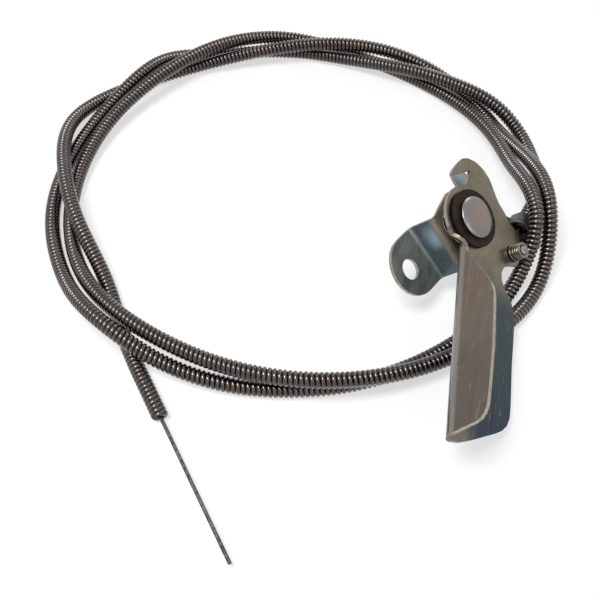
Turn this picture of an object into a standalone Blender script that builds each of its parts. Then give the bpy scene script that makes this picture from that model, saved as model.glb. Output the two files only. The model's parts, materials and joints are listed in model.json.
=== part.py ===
"""Throttle cable: a hand lever on a folded bracket, a wire-wound conduit and its inner wire.

Run with blender --background --python part.py, or from the text editor.
Metres, +Z up. The origin is on the table, under the middle of the lever control.
Lever pieces are drawn in the control's own frame: its origin is on the pivot, on the
lever's front face, +Z points out of the plate and the handle runs along -Y.
"""
import math

import bmesh
import bpy
import numpy as np
from mathutils import Matrix, Vector

MM = 0.001
GAP = 0.3 * MM                      # clearance between pieces that touch
SHARP_ANGLE = 35.0                  # degrees, edges over this are shaded sharp

# How the control lies on the table
PLATE_TILT = 41.95                  # degrees, plate's normal from the vertical
PLATE_BEARING = -26.27              # degrees, where the normal leans
PLATE_SPIN = 16.18                  # degrees, about the normal

# Sheet and pivot
LEVER_SHEET = 1.2 * MM
BRACKET_SHEET = 1.2 * MM
PIVOT_SPACE = 5.2 * MM              # between the lever's back and the bracket's front
RIVET_SHANK_R = 4.0 * MM
RIVET_HEAD_R = 7.2 * MM
RIVET_HEAD_RISE = 2.2 * MM
RIVET_TAIL_R = 5.2 * MM
RIVET_TAIL_RISE = 2.0 * MM
FRICTION_WASHER_R = 10.0 * MM
FRICTION_WASHER_T = 1.0 * MM
SPACER_R = 8.5 * MM
SPACER_T = 2.2 * MM
WAVE_R = 8.0 * MM
WAVE_T = 0.6 * MM
WAVE_COUNT = 3
BACK_WASHER_R = 5.4 * MM
BACK_WASHER_T = 1.0 * MM

# Lever: round head, tail hook, anchor lobe, leaf handle and side flange
HEAD_R = 12.0 * MM
HANDLE_LENGTH = 68.6 * MM           # neck to the handle's end
LEAF_WIDTH = 28.2 * MM              # outside of the fold to the leaf's free edge
FLANGE_HEIGHT = 14.3 * MM           # sheet past the outside of the fold, before bending
FLANGE_OUTER_X = -3.4 * MM
FOLD_INNER_R = 1.5 * MM
FOLD_TOP_Y = -9.0 * MM              # the flange starts to curl here
FOLD_RUN = 5.0 * MM                 # and stands square to the leaf this far on
NECK_Y = -12.0 * MM
NECK_BEND = 8.0                     # degrees, handle bent forward
NECK_R = 30.0 * MM
ANCHOR_X = 21.2 * MM
ANCHOR_Y = -1.6 * MM
LOBE_REACH = 24.6 * MM              # pivot to the lobe's rim
LEVER_SWING = 38.0                  # degrees

# Wire anchor
STUD_R = 1.5 * MM
SWIVEL_R = 3.4 * MM
SWIVEL_DEPTH = 3.4 * MM
ANCHOR_WASHER_R = 3.0 * MM
ANCHOR_WASHER_T = 0.7 * MM
ANCHOR_LOCK_R = 2.8 * MM
ANCHOR_LOCK_T = 0.8 * MM
ANCHOR_NUT_R = 2.8 * MM             # round nut with grooves
ANCHOR_NUT_T = 2.0 * MM
NUT_GROOVES = 2
NUT_GROOVE_DEPTH = 0.4 * MM
STUD_PROUD = 0.3 * MM

# Cable
CONDUIT_D = 5.5 * MM
BORE_D = 2.4 * MM
WIRE_D = 1.2 * MM
WIRE_LINE_ANGLE = 20.0              # degrees, conduit's end from the control's +Y
WIRE_LINE_OFFSET = 19.9 * MM        # pivot to the wire's line
MOUTH_ALONG = 18.8 * MM             # pivot to the conduit's mouth, along that line
LEVER_STRAIGHT = 22.0 * MM          # both ends are straight this far, for the wire's stroke
FREE_STRAIGHT = 17.0 * MM
BORE_DEPTH = 16.8 * MM
LEVER_WIRE_TAIL = 15.6 * MM         # wire inside the conduit's lever end
LEVER_WIRE_PAST_ANCHOR = 6.0 * MM
FREE_WIRE_TAIL = 2.2 * MM           # wire inside the conduit's free end
FREE_WIRE_OUT = 52.0 * MM
CONDUIT_SIDES = 12
CONDUIT_POINTS = 100
STRAIGHT_WEIGHT = 8.0               # per metre, more spreads the points off the bends

# Clamp on the bracket's wing
STRAP_T = 0.8 * MM
STRAP_WIDTH = 5.5 * MM
STRAP_START = 0.8 * MM              # from the conduit's mouth
STRAP_BEND = 0.9 * MM
CLAMP_SCREW_R = 1.6 * MM
CLAMP_HEAD_R = 3.1 * MM
CLAMP_HEAD_T = 2.0 * MM
CLAMP_LOCK_R = 2.9 * MM
CLAMP_LOCK_T = 0.8 * MM
CLAMP_TAIL = 2.0 * MM               # screw's tail behind the bracket
CLAMP_SCREW_OFFSET = CONDUIT_D / 2.0 + GAP + STRAP_T + STRAP_BEND + CLAMP_HEAD_R
STRAP_FOOT = CLAMP_SCREW_OFFSET + CLAMP_HEAD_R + GAP
WING_MARGIN = 0.9 * MM              # bracket's sheet round the screw's head

# Bracket: base plate, side wall, foot
WALL_BEND_R = 1.5 * MM              # inside radius of both folds
FOOT_DROP = 10.8 * MM               # base plate to foot
TAB_WIDTH = 20.6 * MM
TAB_CORNER = (-9.97 * MM, -1.94 * MM)
TAB_ANGLE = -28.4                   # degrees, direction of the folds
FOOT_HOLE_R = 3.6 * MM
FOOT_HOLE_OUT = 8.7 * MM            # wall's second fold to the hole's centre
FOOT_ROUND_OUT = 6.4 * MM           # wall's second fold to the rounded end's centre

# Route of the conduit: turned angle in degrees, radius and height in mm about the coil's centre.
# The centre is given from the pivot, in mm. The two straight ends are worked out.
COIL_CENTRE = (-56.8, 46.5)
FREE_END_BEARING = -63.2            # degrees, direction of the free end
FREE_END = (-99.7, -61.4)           # mm from the pivot, where the free end is cut
ROUTE = [
    (-3, 90.6, 6.2), (6, 90.9, 3.1), (15, 90.9, 3.5), (22, 87.4, 7.6), (35, 79.8, 9.7),
    (54, 72.9, 8.4), (74, 73.7, 4.3), (92, 77.8, 2.9), (113, 82.9, 2.8), (129, 86.9, 7.2),
    (138, 85.2, 9.6), (153, 86.8, 5.3), (173, 90.0, 2.8), (195, 94.2, 2.8), (213, 97.0, 4.1),
    (229, 99.8, 11.0), (242, 99.5, 7.0), (259, 97.8, 2.8), (283, 96.1, 2.9), (307, 93.6, 2.8),
    (319, 92.6, 3.9), (329, 91.6, 9.8), (336, 89.6, 17.8), (344, 84.5, 18.7), (357, 79.3, 12.3),
    (375, 77.8, 7.1), (401, 77.0, 3.1), (427, 78.0, 2.8), (451, 84.8, 4.6), (472, 80.5, 10.1),
    (492, 78.2, 10.2), (519, 81.2, 6.2), (551, 86.7, 3.1), (575, 91.2, 5.4), (594, 93.4, 9.6),
    (610, 94.2, 8.6), (630, 97.8, 9.7), (653, 99.4, 7.3), (672, 99.4, 4.4), (688, 98.5, 4.7),
    (702, 92.0, 17.9), (716, 86.2, 14.6), (736, 83.4, 3.9), (764, 84.6, 3.6), (782, 80.3, 8.2),
    (804, 74.4, 9.7), (834, 76.6, 5.2), (861, 87.8, 2.8), (881, 94.8, 6.1), (901, 88.9, 10.2),
    (920, 85.0, 8.8), (937, 85.3, 3.9), (951, 94.4, 2.8),
]


def direction(angle):
    """Unit vector in the plate, turned from +Y towards +X."""
    return Vector((math.sin(math.radians(angle)), math.cos(math.radians(angle)), 0.0))


def arc(centre_x, centre_y, radius, start, end, count):
    """Points on an arc, angles in degrees."""
    angles = np.radians(np.linspace(start, end, count))
    return [(centre_x + radius * math.cos(a), centre_y + radius * math.sin(a)) for a in angles]


def circle(centre_x, centre_y, radius, count=32):
    return arc(centre_x, centre_y, radius, 0.0, 360.0, count + 1)[:-1]


def in_metres(points):
    return [(x * MM, y * MM) for x, y in points]


def smooth_step(value):
    value = min(max(value, 0.0), 1.0)
    return value * value * (3.0 - 2.0 * value)


def material(name, colour, roughness, metallic=1.0):
    result = bpy.data.materials.new(name)
    result.use_nodes = True
    shader = result.node_tree.nodes["Principled BSDF"]
    shader.inputs["Base Color"].default_value = (*colour, 1.0)
    shader.inputs["Roughness"].default_value = roughness
    shader.inputs["Metallic"].default_value = metallic
    result.diffuse_color = (*colour, 1.0)
    return result


def add_object(name, bm, finish, parent=None):
    """Turns a bmesh into a named object with its material."""
    bmesh.ops.recalc_face_normals(bm, faces=bm.faces[:])
    mesh = bpy.data.meshes.new(name)
    bm.to_mesh(mesh)
    bm.free()
    mesh.shade_smooth()
    mesh.set_sharp_from_angle(angle=math.radians(SHARP_ANGLE))
    mesh.materials.append(finish)
    item = bpy.data.objects.new(name, mesh)
    bpy.context.collection.objects.link(item)
    item.parent = parent
    return item


def add_empty(name, parent=None, matrix=None):
    item = bpy.data.objects.new(name, None)
    bpy.context.collection.objects.link(item)
    item.parent = parent
    if matrix is not None:
        item.matrix_local = matrix
    return item


def filled_sheet(loops):
    """Flat face at z = 0 inside the first loop and outside the others."""
    bm = bmesh.new()
    edges = []
    for loop in loops:
        verts = [bm.verts.new((x, y, 0.0)) for x, y in loop]
        edges += [bm.edges.new((verts[i - 1], verts[i])) for i in range(len(verts))]
    bmesh.ops.triangle_fill(bm, edges=edges, use_beauty=True, normal=(0.0, 0.0, 1.0))
    return bm


def plate(loops, low, high):
    """Flat plate between two heights."""
    bm = filled_sheet(loops)
    bmesh.ops.translate(bm, verts=bm.verts[:], vec=(0.0, 0.0, low))
    top = bmesh.ops.extrude_face_region(bm, geom=bm.faces[:])
    moved = [v for v in top["geom"] if isinstance(v, bmesh.types.BMVert)]
    bmesh.ops.translate(bm, verts=moved, vec=(0.0, 0.0, high - low))
    return bm


def cut_lines(bm, points, normal, keep=None):
    """Adds edge lines across a flat sheet, so that it can bend there."""
    for point in points:
        faces = [f for f in bm.faces if keep is None or keep(f.calc_center_median())]
        geometry = set(faces)
        for face in faces:
            geometry.update(face.edges)
            geometry.update(face.verts)
        bmesh.ops.bisect_plane(bm, geom=list(geometry), dist=1e-7, plane_co=point, plane_no=normal)


def ring(outer, inner, low, high, count=40):
    """Flat washer."""
    return plate([circle(0.0, 0.0, outer, count), circle(0.0, 0.0, inner, count)], low, high)


def turned(profile, count=40):
    """Solid turned about Z. The profile runs from the axis to the axis."""
    bm = bmesh.new()
    verts = [bm.verts.new((radius, 0.0, height)) for radius, height in profile]
    edges = [bm.edges.new((verts[i], verts[i + 1])) for i in range(len(verts) - 1)]
    bmesh.ops.spin(bm, geom=verts + edges, cent=(0, 0, 0), axis=(0, 0, 1),
                   angle=math.tau, steps=count, use_merge=True)
    bmesh.ops.remove_doubles(bm, verts=bm.verts[:], dist=1e-7)
    return bm


def thicken(item, thickness, offset):
    solidify = item.modifiers.new("sheet", "SOLIDIFY")
    solidify.thickness = thickness
    solidify.offset = offset
    solidify.use_even_offset = True


def cut_with(item, cutter):
    """Cuts a hidden cutter out of a solid."""
    cutter.hide_render = True
    cutter.display_type = "WIRE"
    boolean = item.modifiers.new(cutter.name, "BOOLEAN")
    boolean.operation = "DIFFERENCE"
    boolean.solver = "EXACT"
    boolean.object = cutter


def handle_part(points, width):
    """Part of the handle's outline, stretched to the named length and width below the neck."""
    drawn_length = max(NECK_Y / MM - y for x, y in points)
    drawn_width = max(abs(x - FLANGE_OUTER_X / MM) for x, y in points)
    stretched = []
    for x, y in points:
        if y * MM < NECK_Y:
            x = FLANGE_OUTER_X / MM + (x - FLANGE_OUTER_X / MM) * width / (drawn_width * MM)
            y = NECK_Y / MM + (y - NECK_Y / MM) * HANDLE_LENGTH / (drawn_length * MM)
        stretched.append((x, y))
    return in_metres(stretched)


def lever_outline():
    """Flat pattern of the lever, before its folds, anticlockwise."""
    tail = [(22.2, 7.7), (19.9, 7.7), (17.4, 8.4), (15.9, 9.5), (14.4, 10.8), (10.8, 12.9),
            (8.9, 14.6), (6.3, 17.5), (4.5, 19.3), (1.3, 21.0), (-1.7, 21.6), (-3.7, 21.6),
            (-6.8, 20.9), (-9.0, 19.4), (-10.6, 16.3), (-12.2, 12.4), (-12.4, 10.9),
            (-11.6, 10.6), (-4.8, 17.0), (-5.0, 13.1)]
    head = arc(0.0, 0.0, HEAD_R, 117.0, 222.0, 13)
    flange = [(-7.6, -9.6), (-6.2, -10.9), (-5.2, -12.2), (-4.8, -13.6), (-5.0, -15.9),
              (-7.1, -19.2), (-9.7, -23.0), (-13.3, -28.6), (-15.4, -32.0), (-16.6, -34.6),
              (-17.3, -37.4), (-17.5, -41.5), (-17.7, -55.7), (-17.2, -67.3), (-16.7, -74.6),
              (-15.9, -76.7), (-14.6, -78.1), (-12.6, -78.9), (-8.0, -79.4), (-4.0, -80.0),
              (-2.4, -80.6)]
    leaf = [(-0.5, -80.6), (2.8, -79.6), (7.7, -76.9), (18.1, -70.3), (20.6, -68.4),
            (22.6, -66.0), (23.8, -62.9), (24.1, -58.1), (24.1, -44.7), (24.6, -33.1),
            (24.8, -27.0), (24.2, -23.2), (22.4, -19.2), (19.2, -16.2), (17.8, -14.0),
            (17.3, -11.4), (17.8, -9.4), (18.8, -8.1), (21.5, -6.4), (23.6, -5.3)]
    lobe = arc(0.0, 0.0, LOBE_REACH, -9.5, 15.0, 8)
    handle = handle_part(flange, FLANGE_HEIGHT) + handle_part(leaf, LEAF_WIDTH)
    return in_metres(tail) + head + handle + lobe


def folded_lever(x, y):
    """Place on the lever's front face of a point on its flat pattern."""
    fold_x = FLANGE_OUTER_X + LEVER_SHEET + FOLD_INNER_R
    limit = math.radians(90.0) * smooth_step((FOLD_TOP_Y - y) / FOLD_RUN)
    out = fold_x - x
    rise = 0.0
    if out > 0.0 and limit > 0.0:
        turn = min(out / FOLD_INNER_R, limit)
        rest = out - turn * FOLD_INNER_R
        x = fold_x - FOLD_INNER_R * math.sin(turn) - rest * math.cos(turn)
        rise = FOLD_INNER_R * (1.0 - math.cos(turn)) + rest * math.sin(turn)
    along = NECK_Y - y
    if along <= 0.0:
        return Vector((x, y, rise))
    bend = min(along / NECK_R, math.radians(NECK_BEND))
    rest = along - bend * NECK_R
    y = NECK_Y - (NECK_R - rise) * math.sin(bend) - rest * math.cos(bend)
    z = NECK_R - (NECK_R - rise) * math.cos(bend) + rest * math.sin(bend)
    return Vector((x, y, z))


def build_lever(parent, finish):
    """One folded sheet: head, tail hook, lobe, leaf and flange."""
    holes = [circle(0.0, 0.0, RIVET_SHANK_R + GAP, 28),
             circle(ANCHOR_X, ANCHOR_Y, STUD_R + GAP, 20)]
    bm = filled_sheet([lever_outline()] + holes)
    fold_x = FLANGE_OUTER_X + LEVER_SHEET + FOLD_INNER_R
    fold_end = fold_x - FOLD_INNER_R * math.pi / 2.0
    across = [(0.0, FOLD_TOP_Y - FOLD_RUN * i / 8.0, 0.0) for i in range(9)]
    cut_lines(bm, across, (0.0, 1.0, 0.0), lambda c: c.y < FOLD_TOP_Y + 6.0 * MM)
    along = [(fold_x + (fold_end - fold_x) * i / 5.0, 0.0, 0.0) for i in range(6)]
    cut_lines(bm, along, (1.0, 0.0, 0.0), lambda c: c.y < FOLD_TOP_Y)
    for vert in bm.verts:
        vert.co = folded_lever(vert.co.x, vert.co.y)
    bmesh.ops.triangulate(bm, faces=bm.faces[:])
    item = add_object("control_lever", bm, finish, parent)
    thicken(item, LEVER_SHEET, sheet_side(item))
    return item


def sheet_side(item):
    """Solidify offset that grows a sheet towards the plate's back."""
    upward = sum(face.normal.z * face.area for face in item.data.polygons)
    return -1.0 if upward > 0.0 else 1.0


def tab_lines():
    """Corner of the bracket's tab, the way along its folds, the way out and the fold sizes."""
    along = Vector((math.cos(math.radians(TAB_ANGLE)), math.sin(math.radians(TAB_ANGLE))))
    out = Vector((along.y, -along.x))
    radius = WALL_BEND_R + BRACKET_SHEET / 2.0
    return Vector(TAB_CORNER), along, out, radius, radius * math.pi / 2.0, FOOT_DROP - 2.0 * radius


def on_tab(point):
    """Whether a point of the flat pattern is on the tab that folds."""
    start, along, out, radius, quarter, wall = tab_lines()
    return -GAP < (point - start).dot(along) < TAB_WIDTH + GAP and (point - start).dot(out) > -GAP


def bracket_point(x, y):
    """Middle of the bracket's sheet for a point on its flat pattern."""
    start, along, out, radius, quarter, wall = tab_lines()
    place = Vector((x, y))
    drop = 0.0
    if on_tab(place):
        side = (place - start).dot(along)
        away = max((place - start).dot(out), 0.0)
        first = min(away, quarter) / radius
        reach = radius * math.sin(first)
        drop = radius * (1.0 - math.cos(first)) + min(max(away - quarter, 0.0), wall)
        second = min(max(away - quarter - wall, 0.0), quarter) / radius
        reach += radius * (1.0 - math.cos(second)) + max(away - wall - 2.0 * quarter, 0.0)
        drop += radius * math.sin(second)
        place = start + along * side + out * reach
        x, y = place.x, place.y
    return Vector((x, y, -LEVER_SHEET - PIVOT_SPACE - BRACKET_SHEET / 2.0 - drop))


def build_bracket(parent, finish):
    """One folded sheet: base plate, wing, side wall and foot."""
    start, along, out, radius, quarter, wall = tab_lines()
    foot_start = wall + 2.0 * quarter
    middle = start + along * TAB_WIDTH / 2.0

    def tab_point(side, away):
        place = start + along * side + out * away
        return (place.x, place.y)

    rounded = []
    for step in range(13):
        angle = math.pi * step / 12.0
        rounded.append(tab_point(TAB_WIDTH / 2.0 * (1.0 - math.cos(angle)),
                                 foot_start + FOOT_ROUND_OUT + TAB_WIDTH / 2.0 * math.sin(angle)))
    left = [(-5.3, 15.2), (-3.2, 14.0), (-7.3, 8.6), (-9.1, 2.1)]
    lower = [(12.0, -6.4), (17.0, -3.6), (22.0, -2.0), (28.0, 1.5), (33.0, 5.0)]
    upper = [(33.5, 17.6), (27.5, 17.6), (21.2, 16.4), (17.0, 15.0), (12.5, 13.2), (8.5, 15.0),
             (5.0, 19.0), (1.5, 21.2), (-3.0, 20.8), (-7.2, 17.2)]
    screw = clamp_place(CLAMP_SCREW_OFFSET, STRAP_START + STRAP_WIDTH / 2.0)
    wing_end = arc(screw.x, screw.y, CLAMP_HEAD_R + WING_MARGIN, -45.0, 60.0, 9)
    outline = in_metres(left) + [tab_point(0.0, 0.0)] + rounded
    outline += [tab_point(TAB_WIDTH, 0.0)] + in_metres(lower) + wing_end + in_metres(upper)
    hole_centre = middle + out * (foot_start + FOOT_HOLE_OUT)
    loops = [outline, circle(0.0, 0.0, RIVET_SHANK_R + GAP, 24),
             circle(hole_centre.x, hole_centre.y, FOOT_HOLE_R, 28),
             circle(screw.x, screw.y, CLAMP_SCREW_R + GAP, 20)]
    bm = filled_sheet(loops)
    distances = [quarter * i / 5.0 for i in range(6)]
    distances += [quarter + wall + quarter * i / 5.0 for i in range(6)]
    points = [(start + out * d).to_3d() for d in distances]
    cut_lines(bm, points, out.to_3d(), lambda centre: on_tab(centre.to_2d()))
    for vert in bm.verts:
        vert.co = bracket_point(vert.co.x, vert.co.y)
    bmesh.ops.triangulate(bm, faces=bm.faces[:])
    item = add_object("mount_bracket", bm, finish, parent)
    thicken(item, BRACKET_SHEET, 0.0)
    return item


def wire_height():
    """Height of the wire's line over the pivot's plane: the conduit lies on the wing."""
    return -LEVER_SHEET - PIVOT_SPACE + GAP + CONDUIT_D / 2.0


def clamp_place(offset, along_from_mouth):
    """Point beside the conduit's line, in the plane of the wire."""
    line = direction(WIRE_LINE_ANGLE)
    side = Vector((line.y, -line.x, 0.0))
    place = side * (WIRE_LINE_OFFSET + offset) + line * (MOUTH_ALONG + along_from_mouth)
    return Vector((place.x, place.y, wire_height()))


def line_matrix(offset, along_from_mouth):
    """Frame on the conduit's line: X to the side, Y along it, Z out of the plate."""
    line = direction(WIRE_LINE_ANGLE)
    side = Vector((line.y, -line.x, 0.0))
    matrix = Matrix((side, line, Vector((0.0, 0.0, 1.0)))).transposed().to_4x4()
    matrix.translation = clamp_place(offset, along_from_mouth)
    return matrix


def build_pivot(parent, steel, dark, spring):
    """Rivet, its washers and the wave washer."""
    bore = RIVET_SHANK_R + GAP
    head_low = GAP + FRICTION_WASHER_T + GAP
    bracket_back = -LEVER_SHEET - PIVOT_SPACE - BRACKET_SHEET
    tail_high = bracket_back - GAP - BACK_WASHER_T - GAP
    dome = [(RIVET_HEAD_R * math.cos(a), head_low + RIVET_HEAD_RISE * (0.3 + 0.7 * math.sin(a)))
            for a in np.radians(np.linspace(90.0, 0.0, 8))]
    dome[0] = (0.0, dome[0][1])
    profile = dome + [(RIVET_HEAD_R - 0.5 * MM, head_low), (RIVET_SHANK_R, head_low),
                      (RIVET_SHANK_R, tail_high), (RIVET_TAIL_R, tail_high),
                      (RIVET_TAIL_R, tail_high - RIVET_TAIL_RISE * 0.5),
                      (RIVET_TAIL_R * 0.7, tail_high - RIVET_TAIL_RISE),
                      (0.0, tail_high - RIVET_TAIL_RISE)]
    items = [add_object("pivot_rivet", turned(profile), steel, parent)]
    washer = ring(FRICTION_WASHER_R, bore, GAP, GAP + FRICTION_WASHER_T)
    items.append(add_object("friction_washer", washer, dark, parent))
    spacer_high = -LEVER_SHEET - GAP
    spacer = ring(SPACER_R, bore, spacer_high - SPACER_T, spacer_high)
    items.append(add_object("spacer_washer", spacer, steel, parent))
    back = ring(BACK_WASHER_R, bore, bracket_back - GAP - BACK_WASHER_T, bracket_back - GAP)
    items.append(add_object("rivet_back_washer", back, steel, parent))
    wave_low = -LEVER_SHEET - PIVOT_SPACE + GAP
    wave_high = spacer_high - SPACER_T - GAP
    wave = ring(WAVE_R, bore, 0.0, WAVE_T, 48)
    sway = (wave_high - wave_low - WAVE_T) / 2.0
    for vert in wave.verts:
        swing = math.sin(WAVE_COUNT * math.atan2(vert.co.y, vert.co.x))
        vert.co.z += wave_low + sway * (1.0 + swing)
    items.append(add_object("wave_spring_washer", wave, spring, parent))
    return items


def build_anchor(parent, steel, bright):
    """Swivel stud in the lobe, with its washers and nut."""
    head_high = -LEVER_SHEET - GAP
    nut_high = 3.0 * GAP + ANCHOR_WASHER_T + ANCHOR_LOCK_T + ANCHOR_NUT_T
    profile = [(0.0, nut_high + STUD_PROUD), (STUD_R, nut_high + STUD_PROUD), (STUD_R, head_high),
               (SWIVEL_R, head_high), (SWIVEL_R, head_high - SWIVEL_DEPTH),
               (0.0, head_high - SWIVEL_DEPTH)]
    swivel = add_object("anchor_swivel", turned(profile, 24), steel, parent)
    line = direction(WIRE_LINE_ANGLE)
    side = Vector((line.y, -line.x, 0.0))
    anchor = Vector((ANCHOR_X, ANCHOR_Y, 0.0))
    reach = anchor.length
    rest = math.atan2(ANCHOR_Y, ANCHOR_X) + math.radians(WIRE_LINE_ANGLE)
    end = rest - math.radians(LEVER_SWING)
    nearest = reach * min(math.cos(rest), math.cos(end))
    shift = WIRE_LINE_OFFSET - nearest
    low = WIRE_LINE_OFFSET - reach
    middle = (shift + low) / 2.0
    half = (reach - nearest) / 2.0 + WIRE_D / 2.0 + GAP / 2.0
    slot = plate([[(-half, -SWIVEL_R * 2.0), (half, -SWIVEL_R * 2.0),
                   (half, SWIVEL_R * 2.0), (-half, SWIVEL_R * 2.0)]],
                 -WIRE_D / 2.0 - GAP, WIRE_D / 2.0 + GAP)
    cutter = add_object("wire_slot", slot, steel, parent)
    matrix = Matrix((side, line, Vector((0.0, 0.0, 1.0)))).transposed().to_4x4()
    matrix.translation = side * middle + Vector((0.0, 0.0, wire_height()))
    cutter.matrix_local = matrix
    cut_with(swivel, cutter)
    bore = STUD_R + GAP
    washer_high = GAP + ANCHOR_WASHER_T
    lock_high = washer_high + GAP + ANCHOR_LOCK_T
    nut_low = lock_high + GAP
    items = [swivel]
    items.append(add_object("anchor_washer", ring(ANCHOR_WASHER_R, bore, GAP, washer_high, 28),
                            bright, parent))
    lock = split_ring(ANCHOR_LOCK_R, bore, washer_high + GAP, lock_high)
    items.append(add_object("anchor_lock_washer", lock, bright, parent))
    rings = NUT_GROOVES + 1
    height = ANCHOR_NUT_T / (rings + NUT_GROOVES * 0.5)
    outside = []
    for i in range(rings):
        low = nut_low + i * height * 1.5
        outside += [(ANCHOR_NUT_R, low), (ANCHOR_NUT_R, low + height)]
        if i < NUT_GROOVES:
            middle_height = low + height * 1.25
            outside.append((ANCHOR_NUT_R - NUT_GROOVE_DEPTH, middle_height))
    nut = turned([(bore, nut_low)] + outside + [(bore, nut_low + ANCHOR_NUT_T), (bore, nut_low)], 28)
    items.append(add_object("anchor_nut", nut, bright, parent))
    return items


def split_ring(outer, inner, low, high):
    """Lock washer with its slanted split."""
    outline = arc(0.0, 0.0, outer, 12.0, 350.0, 26) + arc(0.0, 0.0, inner, 344.0, 8.0, 22)
    return plate([outline], low, high)


def build_clamp(parent, steel, bright):
    """Strap over the conduit, its lock washer and its screw."""
    base = line_matrix(0.0, STRAP_START)
    inner = CONDUIT_D / 2.0 + GAP
    middle = inner + STRAP_T / 2.0
    wing = -GAP - CONDUIT_D / 2.0
    foot = wing + GAP + STRAP_T / 2.0
    profile = [(-middle, wing + GAP)] + [(-middle * math.cos(a), middle * math.sin(a))
                                         for a in np.radians(np.linspace(0.0, 180.0, 13))]
    profile += [(middle, foot + STRAP_BEND), (middle + STRAP_BEND * 0.3, foot + STRAP_BEND * 0.3),
                (middle + STRAP_BEND, foot), (STRAP_FOOT, foot)]
    bm = bmesh.new()
    rows = [[bm.verts.new((x, y, z)) for x, z in profile] for y in (0.0, STRAP_WIDTH)]
    for i in range(len(profile) - 1):
        bm.faces.new((rows[0][i], rows[0][i + 1], rows[1][i + 1], rows[1][i]))
    strap = add_object("clamp_saddle", bm, bright, parent)
    strap.matrix_local = base
    thicken(strap, STRAP_T, 0.0)
    screw_frame = line_matrix(CLAMP_SCREW_OFFSET, STRAP_START + STRAP_WIDTH / 2.0)
    hole = turned([(0.0, foot + STRAP_T * 2.0), (CLAMP_SCREW_R + GAP, foot + STRAP_T * 2.0),
                   (CLAMP_SCREW_R + GAP, foot - STRAP_T * 2.0), (0.0, foot - STRAP_T * 2.0)], 20)
    cutter = add_object("strap_hole", hole, steel, parent)
    cutter.matrix_local = screw_frame
    cut_with(strap, cutter)
    lock_low = foot + STRAP_T / 2.0 + GAP
    lock = add_object("clamp_lock_washer",
                      split_ring(CLAMP_LOCK_R, CLAMP_SCREW_R + GAP, lock_low, lock_low + CLAMP_LOCK_T),
                      bright, parent)
    lock.matrix_local = screw_frame
    head_low = lock_low + CLAMP_LOCK_T + GAP
    tail = wing - BRACKET_SHEET - CLAMP_TAIL
    screw_profile = [(0.0, head_low + CLAMP_HEAD_T), (CLAMP_HEAD_R * 0.7, head_low + CLAMP_HEAD_T),
                     (CLAMP_HEAD_R, head_low + CLAMP_HEAD_T * 0.6), (CLAMP_HEAD_R, head_low),
                     (CLAMP_SCREW_R, head_low), (CLAMP_SCREW_R, tail + 0.4 * MM),
                     (CLAMP_SCREW_R - 0.4 * MM, tail), (0.0, tail)]
    screw = add_object("clamp_screw", turned(screw_profile, 24), steel, parent)
    screw.matrix_local = screw_frame
    return [strap, lock, screw]


def rod(radius, low, high):
    """Round rod along +Y with square ends."""
    bm = turned([(0.0, high), (radius, high), (radius, low), (0.0, low)], 12)
    bmesh.ops.rotate(bm, verts=bm.verts[:], cent=(0, 0, 0), matrix=Matrix.Rotation(-math.pi / 2, 3, "X"))
    return bm


def settle(control, items):
    """Sets the control on the table, with the origin under its middle."""
    bpy.context.view_layer.update()
    graph = bpy.context.evaluated_depsgraph_get()
    corners = []
    for item in items:
        solid = item.evaluated_get(graph)
        mesh = solid.to_mesh()
        corners += [solid.matrix_world @ v.co for v in mesh.vertices]
        solid.to_mesh_clear()
    low = [min(c[i] for c in corners) for i in range(3)]
    high = [max(c[i] for c in corners) for i in range(3)]
    control.location = (-(low[0] + high[0]) / 2.0, -(low[1] + high[1]) / 2.0, -low[2])
    bpy.context.view_layer.update()


def smooth_curve(points, start_way, end_way, count):
    """Cubic curve through the points with set end directions, closer steps where it bends."""
    knots = np.array(points)
    spans = np.linalg.norm(np.diff(knots, axis=0), axis=1)
    total = len(knots)
    system = np.zeros((total, total))
    known = np.zeros((total, 3))
    system[0, 0] = system[-1, -1] = 1.0
    known[0] = start_way
    known[-1] = end_way
    for i in range(1, total - 1):
        before, after = spans[i - 1], spans[i]
        system[i, i - 1:i + 2] = after, 2.0 * (before + after), before
        known[i] = 3.0 * (after * (knots[i] - knots[i - 1]) / before
                          + before * (knots[i + 1] - knots[i]) / after)
    ways = np.linalg.solve(system, known)
    fine = []
    for i, span in enumerate(spans):
        for t in np.linspace(0.0, 1.0, 40, endpoint=False):
            fine.append((2 * t**3 - 3 * t**2 + 1) * knots[i] + (t**3 - 2 * t**2 + t) * span * ways[i]
                        + (3 * t**2 - 2 * t**3) * knots[i + 1] + (t**3 - t**2) * span * ways[i + 1])
    fine = np.array(fine + [knots[-1]])
    steps = np.linalg.norm(np.diff(fine, axis=0), axis=1)
    length = np.concatenate(([0.0], np.cumsum(steps)))
    tangent = np.gradient(fine, length, axis=0)
    bend = np.linalg.norm(np.gradient(tangent, length, axis=0), axis=1)
    weight = np.sqrt(bend + STRAIGHT_WEIGHT)
    share = np.concatenate(([0.0], np.cumsum((weight[1:] + weight[:-1]) / 2.0 * steps)))
    marks = np.interp(np.linspace(0.0, share[-1], count), share, length)
    return [Vector([np.interp(m, length, fine[:, axis]) for axis in range(3)]) for m in marks]


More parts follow.
